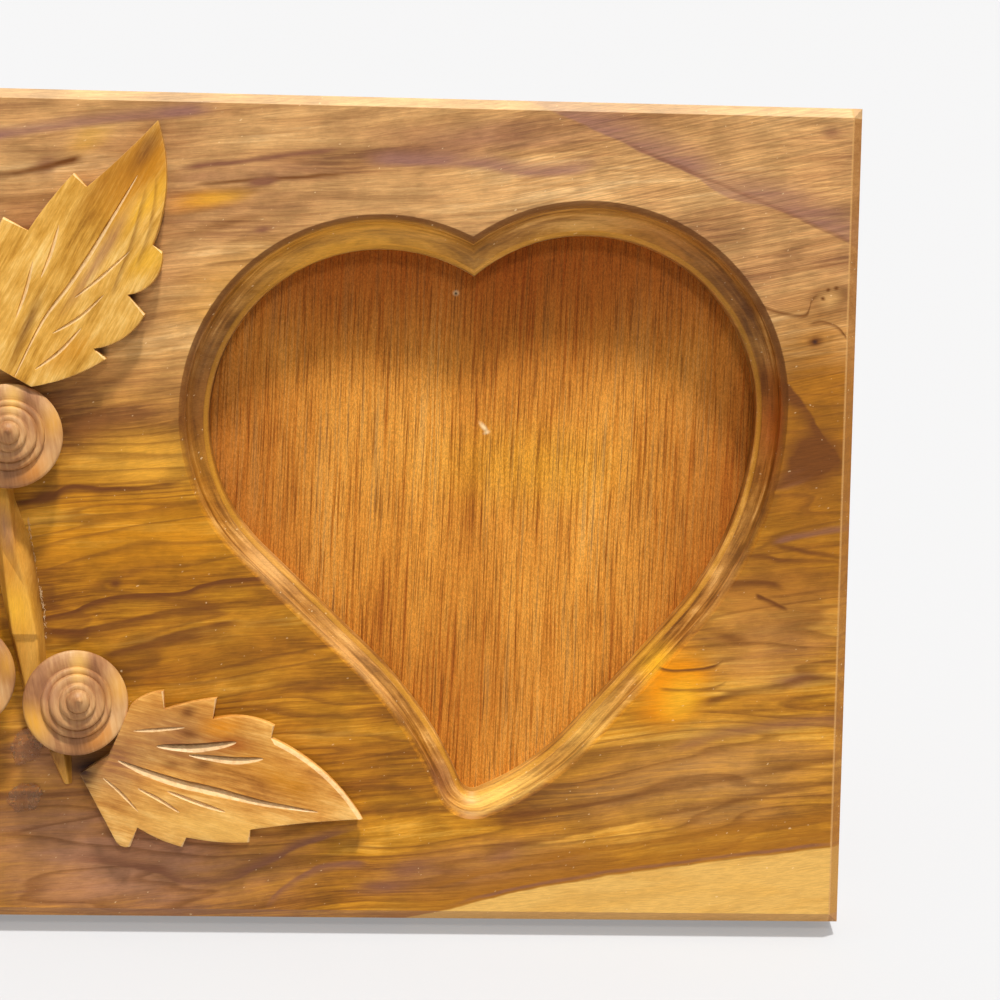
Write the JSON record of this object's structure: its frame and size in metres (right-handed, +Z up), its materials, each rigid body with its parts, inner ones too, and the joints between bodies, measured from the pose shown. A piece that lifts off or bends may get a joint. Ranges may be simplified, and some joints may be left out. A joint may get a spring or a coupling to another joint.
{
  "type": "photo frame",
  "caption": "Leaning wooden photo frame: a plank with a moulded heart opening, a carved spray of leaves and turned rosettes, a plywood back and a hinged strut.",
  "frame": {"origin": "on the table, below the middle of the frame's bounding box", "axes": "+X to the viewer's right along the board, +Y to the back, +Z up"},
  "size_m": [0.28, 0.0884, 0.1777],
  "materials": {
    "board_wood": "satin figured hardwood",
    "plywood": "bare plywood",
    "golden_wood": "carved, oiled",
    "orange_wood": "carved, oiled",
    "rosette_wood": "turned, oiled",
    "strut_wood": "planed",
    "brass": "satin"
  },
  "bodies": {
    "frame": {"front_board": "board_wood", "backing_panel": "plywood", "leaf_upper_right": "golden_wood", "leaf_upper_left": "golden_wood", "leaf_lower_right": "orange_wood", "leaf_lower_left": "orange_wood", "stem_main": "golden_wood", "stem_foot": "golden_wood", "turn_button_screws": "brass", "hinge_fixed_leaf": "brass", "hinge_pin": "brass", "hinge_fixed_screws": "brass", "rosette_top": "rosette_wood", "rosette_lower_right": "rosette_wood", "rosette_lower_left": "rosette_wood"},
    "strut": {"easel_strut": "strut_wood", "hinge_moving_leaf": "brass", "hinge_moving_screws": "brass"},
    "button_1": {"turn_button_1": "brass"},
    "button_2": {"turn_button_2": "brass"},
    "button_3": {"turn_button_3": "brass"},
    "button_4": {"turn_button_4": "brass"}
  },
  "joints": [
    {"name": "strut_fold", "type": "hinge", "parent": "frame", "child": "strut", "pos_m": [0.059, 0.00903, 0.13971], "axis": [-1, 0, 0], "range_deg": [0, 25]},
    {"name": "turn_button_1_turn", "type": "hinge", "parent": "frame", "child": "button_1", "pos_m": [-0.0144, -0.01696, 0.04601], "axis": [0, 0.9681, -0.2504], "continuous": true},
    {"name": "turn_button_2_turn", "type": "hinge", "parent": "frame", "child": "button_2", "pos_m": [-0.0144, 0.00407, 0.12734], "axis": [0, 0.9681, -0.2504], "continuous": true},
    {"name": "turn_button_3_turn", "type": "hinge", "parent": "frame", "child": "button_3", "pos_m": [0.1324, -0.01696, 0.04601], "axis": [0, 0.9681, -0.2504], "continuous": true},
    {"name": "turn_button_4_turn", "type": "hinge", "parent": "frame", "child": "button_4", "pos_m": [0.1324, 0.00407, 0.12734], "axis": [0, 0.9681, -0.2504], "continuous": true}
  ]
}
